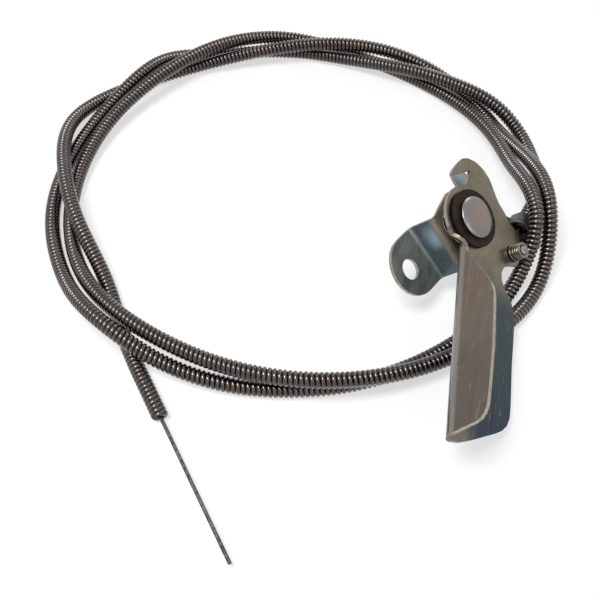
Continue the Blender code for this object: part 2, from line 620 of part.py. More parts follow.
def build_conduit(control, finish):
    """Wire-wound conduit as a tube along its route, bored at both ends for the wire."""
    pivot = control.location
    frame = control.matrix_world
    centre = pivot.to_2d() + Vector(COIL_CENTRE) * MM
    lever_way = (frame.to_3x3() @ direction(WIRE_LINE_ANGLE)).normalized()
    mouth = frame @ clamp_place(0.0, 0.0)
    bearing = math.radians(FREE_END_BEARING)
    free_way = Vector((math.cos(bearing), math.sin(bearing), 0.0))
    free_end = Vector((pivot.x + FREE_END[0] * MM, pivot.y + FREE_END[1] * MM, CONDUIT_D / 2.0))
    points = [mouth + lever_way * LEVER_STRAIGHT]
    for angle, radius, height in ROUTE:
        turn = math.radians(angle)
        points.append(Vector((centre.x + radius * MM * math.cos(turn),
                              centre.y + radius * MM * math.sin(turn),
                              max(height * MM, CONDUIT_D / 2.0))))
    points.append(free_end - free_way * FREE_STRAIGHT)
    track = [mouth] + smooth_curve(points, lever_way, free_way, CONDUIT_POINTS) + [free_end]
    for point in track[2:-1]:
        point.z = max(point.z, CONDUIT_D / 2.0)

    curve = bpy.data.curves.new("conduit_route", "CURVE")
    curve.dimensions = "3D"
    curve.bevel_depth = CONDUIT_D / 2.0
    curve.bevel_resolution = CONDUIT_SIDES // 4 - 1
    curve.use_fill_caps = True
    spline = curve.splines.new("POLY")
    spline.points.add(len(track) - 1)
    for point, place in zip(spline.points, track):
        point.co = (*place, 1.0)
    guide = bpy.data.objects.new("conduit_route", curve)
    guide.hide_render = True
    guide.display_type = "WIRE"
    bpy.context.collection.objects.link(guide)
    bpy.context.view_layer.update()
    evaluated = guide.evaluated_get(bpy.context.evaluated_depsgraph_get())
    bm = bmesh.new()
    bm.from_mesh(evaluated.to_mesh())
    evaluated.to_mesh_clear()
    bmesh.ops.remove_doubles(bm, verts=bm.verts[:], dist=1e-6)
    conduit = add_object("conduit", bm, finish)

    lever_frame = line_frame(mouth, lever_way)
    free_frame = line_frame(free_end, -free_way)
    for name, end_frame in (("lever_end_bore", lever_frame), ("free_end_bore", free_frame)):
        cutter = add_object(name, rod(BORE_D / 2.0, -BORE_DEPTH, BORE_DEPTH), finish)
        cutter.matrix_world = end_frame
        cut_with(conduit, cutter)
    return conduit, lever_frame, free_frame


def line_frame(place, way):
    """World frame at a place, with Y along the way."""
    side = way.cross(Vector((0.0, 0.0, 1.0))).normalized()
    matrix = Matrix((side, way, side.cross(way))).transposed().to_4x4()
    matrix.translation = place
    return matrix


def build_wires(finish, control, free_frame):
    """Inner wire: the lever's end and the free end of one wire."""
    line = direction(WIRE_LINE_ANGLE)
    anchor_along = Vector((ANCHOR_X, ANCHOR_Y, 0.0)).dot(line)
    start = anchor_along - LEVER_WIRE_PAST_ANCHOR - MOUTH_ALONG
    lever_wire = add_object("inner_wire_lever_end", rod(WIRE_D / 2.0, start, LEVER_WIRE_TAIL),
                            finish, control)
    lever_wire.matrix_local = line_matrix(0.0, 0.0)
    free_wire = add_object("inner_wire_free_end", rod(WIRE_D / 2.0, -FREE_WIRE_OUT, FREE_WIRE_TAIL),
                           finish)
    free_wire.matrix_world = free_frame
    return lever_wire, free_wire


def main():
    for item in list(bpy.data.objects):
        bpy.data.objects.remove(item, do_unlink=True)
    lever_steel = material("lever_steel", (0.30, 0.27, 0.23), 0.38)
    bracket_steel = material("bracket_steel", (0.26, 0.31, 0.33), 0.36)
    rivet_steel = material("rivet_steel", (0.62, 0.58, 0.52), 0.28)
    dark_steel = material("dark_washer", (0.055, 0.038, 0.028), 0.6, 0.4)
    bright_steel = material("bright_steel", (0.66, 0.65, 0.62), 0.25)
    spring_steel = material("spring_steel", (0.16, 0.14, 0.13), 0.4)
    conduit_steel = material("conduit_steel", (0.17, 0.14, 0.12), 0.35)
    wire_steel = material("wire_steel", (0.14, 0.13, 0.12), 0.4)

    turn = (Matrix.Rotation(math.radians(PLATE_BEARING), 4, "Z")
            @ Matrix.Rotation(math.radians(PLATE_TILT), 4, "Y")
            @ Matrix.Rotation(math.radians(PLATE_SPIN), 4, "Z"))
    control = add_empty("control", None, turn)
    lever_pivot = add_empty("lever_pivot", control)
    anchor_pivot = add_empty("anchor_pivot", lever_pivot,
                             Matrix.Translation((ANCHOR_X, ANCHOR_Y, 0.0)))
    solids = [build_bracket(control, bracket_steel), build_lever(lever_pivot, lever_steel)]
    solids += build_pivot(control, rivet_steel, dark_steel, spring_steel)
    solids += build_anchor(anchor_pivot, rivet_steel, bright_steel)
    solids += build_clamp(control, rivet_steel, bright_steel)
    settle(control, solids)
    conduit, lever_frame, free_frame = build_conduit(control, conduit_steel)
    build_wires(wire_steel, control, free_frame)


main()
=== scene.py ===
"""Looks of the throttle cable: plated lever control, wound conduit, wire, light and camera."""
import json
import math

import bmesh
import bpy
import numpy as np
from mathutils import Matrix, Vector


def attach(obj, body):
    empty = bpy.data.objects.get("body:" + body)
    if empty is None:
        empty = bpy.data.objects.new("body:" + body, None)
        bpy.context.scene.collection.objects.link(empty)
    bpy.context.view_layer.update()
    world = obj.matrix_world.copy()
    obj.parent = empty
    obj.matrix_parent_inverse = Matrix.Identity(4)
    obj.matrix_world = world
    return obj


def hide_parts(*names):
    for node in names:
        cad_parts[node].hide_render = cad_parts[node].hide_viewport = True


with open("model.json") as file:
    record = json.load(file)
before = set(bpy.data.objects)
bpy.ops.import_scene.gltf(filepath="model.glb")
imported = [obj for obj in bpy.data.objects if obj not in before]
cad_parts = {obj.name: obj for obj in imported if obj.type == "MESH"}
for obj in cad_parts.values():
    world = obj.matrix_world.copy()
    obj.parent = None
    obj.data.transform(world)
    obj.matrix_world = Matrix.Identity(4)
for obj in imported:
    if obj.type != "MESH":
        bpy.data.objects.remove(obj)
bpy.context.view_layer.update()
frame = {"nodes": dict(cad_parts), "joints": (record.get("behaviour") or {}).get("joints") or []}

MM = 0.001

# The control lies on its pivot's frame: +Z out of the plate, the handle along -Y
PLATE_BEARING = -26.27              # all three in degrees
PLATE_TILT = 41.95
PLATE_SPIN = 16.18
pivot = Vector(next(j["pos_m"] for j in frame["joints"] if j["name"] == "lever_pivot"))
control = (Matrix.Translation(pivot)
           @ Matrix.Rotation(math.radians(PLATE_BEARING), 4, "Z")
           @ Matrix.Rotation(math.radians(PLATE_TILT), 4, "Y")
           @ Matrix.Rotation(math.radians(PLATE_SPIN), 4, "Z"))

# Camera, from the photograph's perspective
FOCAL_PIXELS = 899.0
FRAME_PIXELS = 600.0
SENSOR_WIDTH = 36.0                 # mm
CAMERA_ELEVATION = 51.6             # degrees
CAMERA_FROM_PIVOT = (-0.05682, -0.20545, 0.21614)
CLIP_START = 0.01
CLIP_END = 20.0

# Conduit: a round wire wound close, and its route as in the CAD model
CONDUIT_D = 5.5 * MM
WINDING_PITCH = 1.65 * MM
GROOVE_DEPTH = 0.66 * MM
ROUNDNESS = 0.96                    # how much of a half circle one turn of wire shows
FULL_DROP = 0.8                     # what 1 - sqrt(1 - ROUNDNESS) gives, in the groove
TURN_SIDES = 16
PROFILE = (-0.5, -0.34, -0.12, 0.12, 0.34)   # places across one turn of wire, in pitches
SHARP_ANGLE = 75.0                  # degrees, of the tube's ends
BORE_D = 2.4 * MM
BORE_DEPTH = 16.8 * MM
LEVER_STRAIGHT = 22.0 * MM
FREE_STRAIGHT = 17.0 * MM
MOUTH_FROM_PIVOT = (0.019785, 0.009674, -0.016602)
MOUTH_WAY = (0.48605, 0.872796, -0.044536)
FREE_END_FROM_PIVOT = (-0.0997, -0.0614)
FREE_END_BEARING = -63.2            # degrees
COIL_CENTRE_FROM_PIVOT = (-0.0568, 0.0465)
ROUTE = [                           # turned angle in degrees, radius and height in metres
    (-3, .0906, .0062), (6, .0909, .0031), (15, .0909, .0035), (22, .0874, .0076),
    (35, .0798, .0097), (54, .0729, .0084), (74, .0737, .0043), (92, .0778, .0029),
    (113, .0829, .0028), (129, .0869, .0072), (138, .0852, .0096), (153, .0868, .0053),
    (173, .0900, .0028), (195, .0942, .0028), (213, .0970, .0041), (229, .0998, .0110),
    (242, .0995, .0070), (259, .0978, .0028), (283, .0961, .0029), (307, .0936, .0028),
    (319, .0926, .0039), (329, .0916, .0098), (336, .0896, .0178), (344, .0845, .0187),
    (357, .0793, .0123), (375, .0778, .0071), (401, .0770, .0031), (427, .0780, .0028),
    (451, .0848, .0046), (472, .0805, .0101), (492, .0782, .0102), (519, .0812, .0062),
    (551, .0867, .0031), (575, .0912, .0054), (594, .0934, .0096), (610, .0942, .0086),
    (630, .0978, .0097), (653, .0994, .0073), (672, .0994, .0044), (688, .0985, .0047),
    (702, .0920, .0179), (716, .0862, .0146), (736, .0834, .0039), (764, .0846, .0036),
    (782, .0803, .0082), (804, .0744, .0097), (834, .0766, .0052), (861, .0878, .0028),
    (881, .0948, .0061), (901, .0889, .0102), (920, .0850, .0088), (937, .0853, .0039),
    (951, .0944, .0028),
]
TRACK_STEP = 0.4 * MM
SPAN_SAMPLES = 60                   # points of the curve between two knots of the route

# Edges of the sheet and turned pieces
SHEET = 1.2 * MM
SHEET_EDGE = 0.2 * MM
FINE_EDGE = 0.15 * MM
CUT_EDGE_TOLERANCE = 0.12 * MM
WELD_DISTANCE = 0.001 * MM
FLAT_ANGLE = 0.6                    # degrees, faces that differ by less are joined
BEVEL_ANGLE = 40.0                  # degrees
BEVEL_SEGMENTS = 2
NORMAL_WEIGHT = 60
RELIEF_DEPTH = 0.05 * MM

# Stage. Lamps: name, place, width in metres, power in watts
FLOOR_HALF = 3.0
FLOOR_DROP = 0.2 * MM
PAPER = (0.9, 0.9, 0.9, 1.0)
WHITE = (1.0, 1.0, 1.0, 1.0)
FLOOR_GLOW = 0.62                   # share of the floor that is plain white to the camera
WORLD_LIGHT = 0.33                  # strength of the surroundings as a lamp
LAMPS = (("key", (-0.28, -0.18, 0.80), 0.32, 7.0),
         ("fill", (0.55, -0.55, 0.55), 0.50, 1.3),
         ("back", (0.35, 0.75, 0.50), 0.35, 1.4))

# Directions in the control's frame
ACROSS = (1.0, 0.0, 0.0)
UPWARD = (0.0, 1.0, 0.0)
OUTWARD = (0.0, 0.0, 1.0)
OFF_HANDLE = (0.0, 0.139, 0.990)    # square to the bent handle

# Grain of the metals, in patches to the metre, and the colour of their scratches
CLOUD_SCALE = 70.0
STREAK_SCALE = 420.0
MOTTLE_SCALE = 1500.0
SCRATCH_SCALE = 300.0
SCRATCH_STRETCH = (5.0, 0.25, 2.0)
SCRATCH_COLOUR = (0.45, 0.43, 0.40)
FULL_BAND = [(0.3, 0.0), (0.7, 1.0)]


def linked(name, data):
    """New object with its data, in the scene."""
    thing = bpy.data.objects.new(name, data)
    bpy.context.collection.objects.link(thing)
    return thing


def node_of(tree, kind, settings=None, **values):
    """Adds a shader node. Settings are its own options, values its inputs by name."""
    node = tree.nodes.new(kind)
    for name, value in (settings or {}).items():
        setattr(node, name, value)
    for name, value in values.items():
        node.inputs[name.replace("_", " ")].default_value = value
    return node


def noise(tree, place, scale, detail=3.0, stretch=(1.0, 1.0, 1.0), roughness=0.55):
    """Noise in object space, 0 to 1. A scale of 1000 has patches of about a millimetre."""
    mapping = node_of(tree, "ShaderNodeMapping", Scale=stretch)
    tree.links.new(place, mapping.inputs["Vector"])
    result = node_of(tree, "ShaderNodeTexNoise", Scale=scale, Detail=detail, Roughness=roughness)
    tree.links.new(mapping.outputs["Vector"], result.inputs["Vector"])
    return result.outputs["Fac"]


def ramp(tree, source, stops):
    """Colour ramp. Each stop is a place and a grey or a colour."""
    node = tree.nodes.new("ShaderNodeValToRGB")
    tree.links.new(source, node.inputs["Fac"])
    band = node.color_ramp
    while len(band.elements) < len(stops):
        band.elements.new(0.5)
    for element, (place, colour) in zip(band.elements, stops):
        element.position = place
        if isinstance(colour, (int, float)):
            colour = (colour,) * 3
        element.color = (*colour, 1.0)
    return node.outputs["Color"]


def mixed(tree, share, first, second, blend="MIX"):
    """Mixes two colours. Each is a colour or an output."""
    node = tree.nodes.new("ShaderNodeMix")
    node.data_type = "RGBA"
    node.blend_type = blend
    for source, socket in ((share, node.inputs[0]), (first, node.inputs[6]),
                           (second, node.inputs[7])):
        if isinstance(source, bpy.types.NodeSocket):
            tree.links.new(source, socket)
        elif isinstance(source, tuple):
            socket.default_value = (*source, 1.0)
        else:
            socket.default_value = source
    return node.outputs[2]


def new_material(name, roughness, metallic=1.0):
    """New material. Returns it with its tree, shader and place in the control's frame."""
    result = bpy.data.materials.new(name)
    result.use_nodes = True
    tree = result.node_tree
    shader = tree.nodes["Principled BSDF"]
    shader.inputs["Metallic"].default_value = metallic
    shader.inputs["Roughness"].default_value = roughness
    world_place = tree.nodes.new("ShaderNodeTexCoord").outputs["Object"]
    to_control = node_of(tree, "ShaderNodeMapping", {"vector_type": "TEXTURE"},
                         Location=pivot, Rotation=control.to_euler())
    tree.links.new(world_place, to_control.inputs["Vector"])
    return result, tree, shader, to_control.outputs["Vector"]


def finish_surface(tree, shader, colour, rough, height, bump):
    """Joins the colour, the roughness and the bump to the shader."""
    tree.links.new(colour, shader.inputs["Base Color"])
    tree.links.new(rough, shader.inputs["Roughness"])
    relief = node_of(tree, "ShaderNodeBump", Strength=bump, Distance=RELIEF_DEPTH)
    tree.links.new(height, relief.inputs["Height"])
    tree.links.new(relief.outputs["Normal"], shader.inputs["Normal"])


def along(tree, place, way, start, end):
    """0 to 1 along a direction in the control's frame, between two distances in mm."""
    node = node_of(tree, "ShaderNodeVectorMath", {"operation": "DOT_PRODUCT"})
    tree.links.new(place, node.inputs[0])
    node.inputs[1].default_value = way
    level = node_of(tree, "ShaderNodeMapRange", {"interpolation_type": "SMOOTHSTEP"},
                    From_Min=start * MM, From_Max=end * MM)
    tree.links.new(node.outputs["Value"], level.inputs["Value"])
    return level.outputs["Result"]


def both(tree, first, second):
    """Where both shares are high."""
    node = node_of(tree, "ShaderNodeMath", {"operation": "MULTIPLY"})
    tree.links.new(first, node.inputs[0])
    tree.links.new(second, node.inputs[1])
    return node.outputs[0]


def spot(tree, place, centre, inner, outer):
    """1 within the inner radius of a point of the control, 0 past the outer one, in mm."""
    node = node_of(tree, "ShaderNodeVectorMath", {"operation": "DISTANCE"})
    tree.links.new(place, node.inputs[0])
    node.inputs[1].default_value = tuple(value * MM for value in centre)
    level = node_of(tree, "ShaderNodeMapRange", {"interpolation_type": "SMOOTHSTEP"},
                    From_Min=outer * MM, From_Max=inner * MM)
    tree.links.new(node.outputs["Value"], level.inputs["Value"])
    return level.outputs["Result"]


def plated(name, dark, light, zones, metallic, rough_low, rough_high, stretch):
    """Zinc-plated sheet: cloudy patches, tinted zones, fine mottling and drawn streaks."""
    result, tree, shader, place = new_material(name, rough_low, metallic)
    clouds = ramp(tree, noise(tree, place, CLOUD_SCALE, 4.0), [(0.34, 0.0), (0.66, 1.0)])
    mottle = noise(tree, place, MOTTLE_SCALE)
    streaks = noise(tree, place, STREAK_SCALE, stretch=stretch)
    colour = mixed(tree, clouds, dark, light)
    for share, tint in zones(tree, place):
        colour = mixed(tree, share, colour, tint)
    colour = mixed(tree, 0.35, colour, ramp(tree, mottle, [(0.3, 0.5), (0.7, 1.0)]), "MULTIPLY")
    colour = mixed(tree, 0.3, colour, ramp(tree, streaks, [(0.35, 0.6), (0.65, 1.0)]), "MULTIPLY")
    scratch = noise(tree, place, SCRATCH_SCALE, 2.0, SCRATCH_STRETCH, roughness=0.4)
    scratch = ramp(tree, scratch, [(0.655, 0.0), (0.675, 0.3), (0.695, 0.0)])
    colour = mixed(tree, scratch, colour, SCRATCH_COLOUR)
    rough = ramp(tree, streaks, [(0.3, rough_low), (0.7, rough_high)])
    height = mixed(tree, 0.5, ramp(tree, mottle, FULL_BAND), ramp(tree, streaks, FULL_BAND))
    finish_surface(tree, shader, colour, rough, height, bump=0.25)
    return result


def lever_zones(tree, place):
    """Warm flange, painted highlight along its fold, dark teal leaf darkened by painted shade."""
    fold_out, fold_in, handle_top = -3.1, -2.6, -11.0     # mm
    on_flange = both(tree, along(tree, place, ACROSS, fold_in, fold_out),
                     along(tree, place, UPWARD, handle_top, -14.0))
    # The leaf's dark teal is partly its own tone and partly painted shade from the flange beside
    # it
    on_leaf = both(tree, along(tree, place, ACROSS, fold_out, fold_in),
                   along(tree, place, UPWARD, handle_top, -26.0))
    low_corner = both(tree, along(tree, place, UPWARD, -68.0, -78.0),
                      along(tree, place, ACROSS, 12.0, 3.0))
    low_leaf = both(tree, on_leaf, along(tree, place, UPWARD, -36.0, -66.0))
    leaf_corner = both(tree, on_leaf, low_corner)
    rubbed = both(tree, on_flange, spot(tree, place, (-3.4, -31.0, 8.0), 2.0, 12.0))
    low_flange = both(tree, on_flange, along(tree, place, UPWARD, -40.0, -60.0))
    # Painted highlight: a pale line along the flange's fold, where its bend catches the light
    fold_highlight = both(tree, on_flange, along(tree, place, OFF_HANDLE, 1.9, 0.4))
    return [(on_leaf, (0.056, 0.072, 0.076)),             # dark teal, darkened as painted shade
            (low_leaf, (0.042, 0.056, 0.076)),            # darker, bluer
            (leaf_corner, (0.190, 0.180, 0.145)),         # pale olive
            (on_flange, (0.195, 0.166, 0.132)),           # warm grey
            (rubbed, (0.215, 0.160, 0.125)),              # copper
            (low_flange, (0.165, 0.144, 0.122)),          # brown grey
            (fold_highlight, (0.320, 0.305, 0.285))]           # painted highlight along the fold


def bracket_zones(tree, place):
    """Wall in a painted reflection of slate blue with a pale patch, grey-green foot, pale blue
    patch under the hook.
    """
    # Painted reflection: the wall's slate blue and its pale patch stand for the surroundings it
    # mirrors
    on_wall = along(tree, place, OUTWARD, -8.3, -9.2)
    on_foot = along(tree, place, OUTWARD, -15.6, -17.4)
    shade = noise(tree, place, 260.0, stretch=(1.0, 0.4, 1.0))
    wall_reflection_patch = both(tree, on_wall, spot(tree, place, (-6.0, -7.2, -10.2), 0.5, 6.5))
    foot_shade = both(tree, on_foot, ramp(tree, shade, [(0.45, 0.0), (0.62, 0.8)]))
    under_hook = spot(tree, place, (-2.5, 17.0, -6.4), 2.0, 7.0)
    return [(on_wall, (0.110, 0.145, 0.165)),             # painted reflection, slate blue
            (wall_reflection_patch, (0.330, 0.450, 0.520)),          # painted reflection, pale blue
            (on_foot, (0.235, 0.250, 0.225)),             # grey green
            (foot_shade, (0.130, 0.165, 0.165)),          # slate
            (under_hook, (0.360, 0.470, 0.520))]          # pale blue


def worn(name, colour, roughness, contrast=0.55):
    """Bright worn metal of edges, washers and screws."""
    result, tree, shader, place = new_material(name, roughness)
    dull = tuple(c * contrast for c in colour)
    spots = ramp(tree, noise(tree, place, 900.0, 4.0), [(0.38, 0.0), (0.6, 1.0)])
    grain = noise(tree, place, 2600.0, 2.0, (1.0, 0.25, 1.0))
    shade = mixed(tree, spots, dull, colour)
    rough = ramp(tree, spots, [(0.0, roughness + 0.22), (1.0, roughness)])
    finish_surface(tree, shader, shade, rough, ramp(tree, grain, FULL_BAND), bump=0.3)
    return result


def rivet_head(name):
    """Smooth steel of the rivet, with a painted warm reflection in copper-coloured streaks over
    its crown.
    """
    result, tree, shader, place = new_material(name, 0.22)
    crown = spot(tree, place, (0.8, 0.8, 3.6), 2.5, 7.2)
    reflection_streaks = noise(tree, place, 330.0, 4.0, (1.0, 0.45, 1.0))
    reflection_streaks = ramp(tree, reflection_streaks, [(0.36, 0.45), (0.62, 1.0)])
    # Painted reflection: copper-coloured streaks over the crown stand for a warm reflection
    colour = mixed(tree, both(tree, crown, reflection_streaks), (0.205, 0.195, 0.190), (0.27, 0.20, 0.155))
    dents = ramp(tree, noise(tree, place, 700.0), [(0.62, 0.0), (0.7, 1.0)])
    colour = mixed(tree, both(tree, dents, crown), colour, (0.20, 0.15, 0.12))
    rough = ramp(tree, reflection_streaks, [(0.0, 0.20), (1.0, 0.34)])
    finish_surface(tree, shader, colour, rough, noise(tree, place, MOTTLE_SCALE), bump=0.12)
    return result


def dark_fibre(name):
    """Dark oiled washer under the rivet's head."""
    result, tree, shader, place = new_material(name, 0.6, 0.0)
    shader.inputs["Specular IOR Level"].default_value = 0.12
    speck = noise(tree, place, 1800.0, 4.0)
    cloud = noise(tree, place, 240.0)
    colour = mixed(tree, ramp(tree, cloud, [(0.35, 0.0), (0.65, 1.0)]),
                   (0.008, 0.005, 0.004), (0.020, 0.013, 0.010))
    colour = mixed(tree, ramp(tree, speck, [(0.62, 0.0), (0.72, 0.4)]), colour,
                   (0.08, 0.06, 0.05))
    rough = ramp(tree, speck, [(0.3, 0.42), (0.7, 0.68)])
    finish_surface(tree, shader, colour, rough, speck, bump=0.5)
    return result


def wound_wire(name):
    """Dark drawn wire of the conduit: grooves painted near black as shade, lighter crests and
    brown and grey lengths.
    """
    result, tree, shader, place = new_material(name, 0.3)
    shader.inputs["Coat Weight"].default_value = 1.0
    shader.inputs["Coat Roughness"].default_value = 0.12
    height = node_of(tree, "ShaderNodeAttribute", {"attribute_name": "crest"}).outputs["Fac"]
    length = noise(tree, place, 46.0)
    speck = noise(tree, place, 1300.0)
    crest = mixed(tree, ramp(tree, length, [(0.38, 0.0), (0.62, 1.0)]),
                  (0.056, 0.040, 0.033), (0.088, 0.071, 0.060))
    crest = mixed(tree, 0.6, crest, ramp(tree, speck, [(0.3, 0.5), (0.7, 1.0)]), "MULTIPLY")
    # Painted shade: the grooves between turns darken to near black, by each vertex's height on
    # its turn
    colour = mixed(tree, ramp(tree, height, [(0.05, 0.0), (0.75, 1.0)]),
                   (0.010, 0.007, 0.005), crest)
    rough = ramp(tree, speck, [(0.3, 0.18), (0.75, 0.28)])
    finish_surface(tree, shader, colour, rough, speck, bump=0.2)
    return result


def drawn_wire(name):
    """Inner wire: dark, with fine lines and lighter rubbed spots."""
    result, tree, shader, place = new_material(name, 0.4)
    speck = noise(tree, place, 900.0, 4.0)
    colour = mixed(tree, ramp(tree, speck, [(0.35, 0.0), (0.65, 1.0)]),
                   (0.050, 0.042, 0.038), (0.150, 0.135, 0.125))
    rough = ramp(tree, speck, [(0.3, 0.3), (0.7, 0.5)])
    finish_surface(tree, shader, colour, rough, speck, bump=0.25)
    return result


def clean_copy(node, cut_edges):
    """The CAD solid's mesh, joined up. Cut edges of a sheet take the second material."""
    source = frame["nodes"][node].data
    bm = bmesh.new()
    verts = [bm.verts.new(v.co) for v in source.vertices]
    for face in source.polygons:
        bm.faces.new([verts[i] for i in face.vertices])
    bmesh.ops.remove_doubles(bm, verts=bm.verts[:], dist=WELD_DISTANCE)
    bmesh.ops.dissolve_limit(bm, angle_limit=math.radians(FLAT_ANGLE), verts=bm.verts[:],
                             edges=bm.edges[:])
    bmesh.ops.recalc_face_normals(bm, faces=bm.faces[:])
    for face in bm.faces:
        across = [edge for edge in face.edges
                  if abs(edge.calc_length() - SHEET) < CUT_EDGE_TOLERANCE]
        face.material_index = int(cut_edges and len(across) == 2 and len(face.edges) == 4)
    mesh = bpy.data.meshes.new(node + "_looks")
    bm.to_mesh(mesh)
    bm.free()
    return mesh


def dressed(node, name, body, materials, edge):
    """Rigid piece in place of its CAD solid. Its rounded edges take the last material."""
    mesh = clean_copy(node, len(materials) > 1)
    mesh.shade_smooth()
    for item in materials:
        mesh.materials.append(item)
    piece = linked(name, mesh)
    bevel = piece.modifiers.new("edges", "BEVEL")
    bevel.limit_method = "ANGLE"
    bevel.angle_limit = math.radians(BEVEL_ANGLE)
    bevel.width = edge
    bevel.segments = BEVEL_SEGMENTS
    bevel.material = len(materials) - 1
    normals = piece.modifiers.new("normals", "WEIGHTED_NORMAL")
    normals.weight = NORMAL_WEIGHT
    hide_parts(node)
    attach(piece, body)
    return piece


def smooth_curve(points, start_way, end_way, step):
    """Cubic curve through the points with set end directions, in even steps."""
    knots = np.array(points)
    spans = np.linalg.norm(np.diff(knots, axis=0), axis=1)
    total = len(knots)
    system = np.zeros((total, total))
    known = np.zeros((total, 3))
    system[0, 0] = system[-1, -1] = 1.0
    known[0] = start_way
    known[-1] = end_way
    for i in range(1, total - 1):
        before, after = spans[i - 1], spans[i]
        system[i, i - 1:i + 2] = after, 2.0 * (before + after), before
        known[i] = 3.0 * (after * (knots[i] - knots[i - 1]) / before
                          + before * (knots[i + 1] - knots[i]) / after)
    ways = np.linalg.solve(system, known)
    fine = []
    for i, span in enumerate(spans):
        for t in np.linspace(0.0, 1.0, SPAN_SAMPLES, endpoint=False):
            fine.append((2 * t**3 - 3 * t**2 + 1) * knots[i]
                        + (t**3 - 2 * t**2 + t) * span * ways[i]
                        + (3 * t**2 - 2 * t**3) * knots[i + 1]
                        + (t**3 - t**2) * span * ways[i + 1])
    return even_steps(np.array(fine + [knots[-1]]), step)


def lengths_along(line):
    """Length of a line up to each of its points."""
    return np.concatenate(([0.0], np.cumsum(np.linalg.norm(np.diff(line, axis=0), axis=1))))


def even_steps(line, step):
    """The same line with points an even step apart."""
    length = lengths_along(line)
    marks = np.linspace(0.0, length[-1], int(round(length[-1] / step)) + 1)
    return np.stack([np.interp(marks, length, line[:, axis]) for axis in range(3)], axis=1)


def conduit_track():
    """Centre line of the conduit, from its mouth in the clamp to its free end."""
    mouth = pivot + Vector(MOUTH_FROM_PIVOT)
    mouth_way = Vector(MOUTH_WAY).normalized()
    bearing = math.radians(FREE_END_BEARING)
    free_way = Vector((math.cos(bearing), math.sin(bearing), 0.0))
    free_end = Vector((pivot.x + FREE_END_FROM_PIVOT[0], pivot.y + FREE_END_FROM_PIVOT[1],
                       CONDUIT_D / 2.0))
    centre = pivot.to_2d() + Vector(COIL_CENTRE_FROM_PIVOT)
    points = [mouth + mouth_way * LEVER_STRAIGHT]
    for angle, radius, height in ROUTE:
        turn = math.radians(angle)
        points.append(Vector((centre.x + radius * math.cos(turn),
                              centre.y + radius * math.sin(turn), height)))
    points.append(free_end - free_way * FREE_STRAIGHT)
    middle = smooth_curve(points, mouth_way, free_way, TRACK_STEP)
    line = np.vstack([[mouth], middle, [free_end]])
    line[1:, 2] = np.maximum(line[1:, 2], CONDUIT_D / 2.0)
    return even_steps(line, TRACK_STEP)


def travelling_frames(track):
    """Two side directions at each point of the track, turned as little as possible."""
    tangent = np.gradient(track, axis=0)
    tangent /= np.linalg.norm(tangent, axis=1)[:, None]
    first = np.cross(tangent[0], (0.0, 0.0, 1.0))
    sides = [first / np.linalg.norm(first)]
    for way in tangent[1:]:
        side = sides[-1] - way * np.dot(sides[-1], way)
        sides.append(side / np.linalg.norm(side))
    sides = np.array(sides)
    return sides, np.cross(tangent, sides)


def tube_mesh(name, verts, faces, crest):
    """Smooth mesh. The crest is each vertex's height on its turn of wire, 0 in the groove."""
    mesh = bpy.data.meshes.new(name)
    mesh.from_pydata(verts, [], faces)
    mesh.attributes.new("crest", "FLOAT", "POINT").data.foreach_set(
        "value", crest.astype(np.float32))
    bm = bmesh.new()
    bm.from_mesh(mesh)
    bmesh.ops.recalc_face_normals(bm, faces=bm.faces[:])
    bm.to_mesh(mesh)
    bm.free()
    mesh.shade_smooth()
    mesh.set_sharp_from_angle(angle=math.radians(SHARP_ANGLE))
    return mesh


